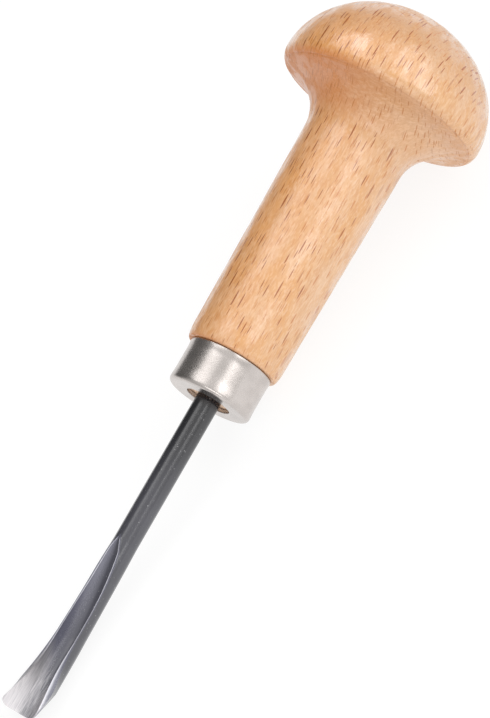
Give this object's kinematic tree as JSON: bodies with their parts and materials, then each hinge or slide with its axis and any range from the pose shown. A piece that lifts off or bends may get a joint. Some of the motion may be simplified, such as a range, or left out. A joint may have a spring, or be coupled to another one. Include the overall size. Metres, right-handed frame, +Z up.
{
  "type": "lino cutter",
  "caption": "Palm gouge for cutting lino: turned wooden mushroom handle, plated steel ferrule and a dark steel U gouge with a flared, bevelled cutting edge.",
  "frame": {"origin": "on the bench under the middle of the tool's bounding box, with the tool lying on the rim of its head and the heel of its gouge", "axes": "+X along the bench from the head towards the cutting edge, +Z up out of the gouge's mouth; the tool's own axis dips 8.08 degrees towards +X"},
  "size_m": [0.149, 0.0408, 0.0405],
  "materials": {
    "lacquered_beech": "gloss lacquer over turned beech",
    "nickel_plate": "nickel plated sheet steel, satin bright",
    "blackened_steel": "black oxide, ground bright inside the mouth and on the bevel"
  },
  "bodies": {
    "root": {"handle": "lacquered_beech", "ferrule": "nickel_plate", "blade": "blackened_steel"}
  },
  "joints": []
}
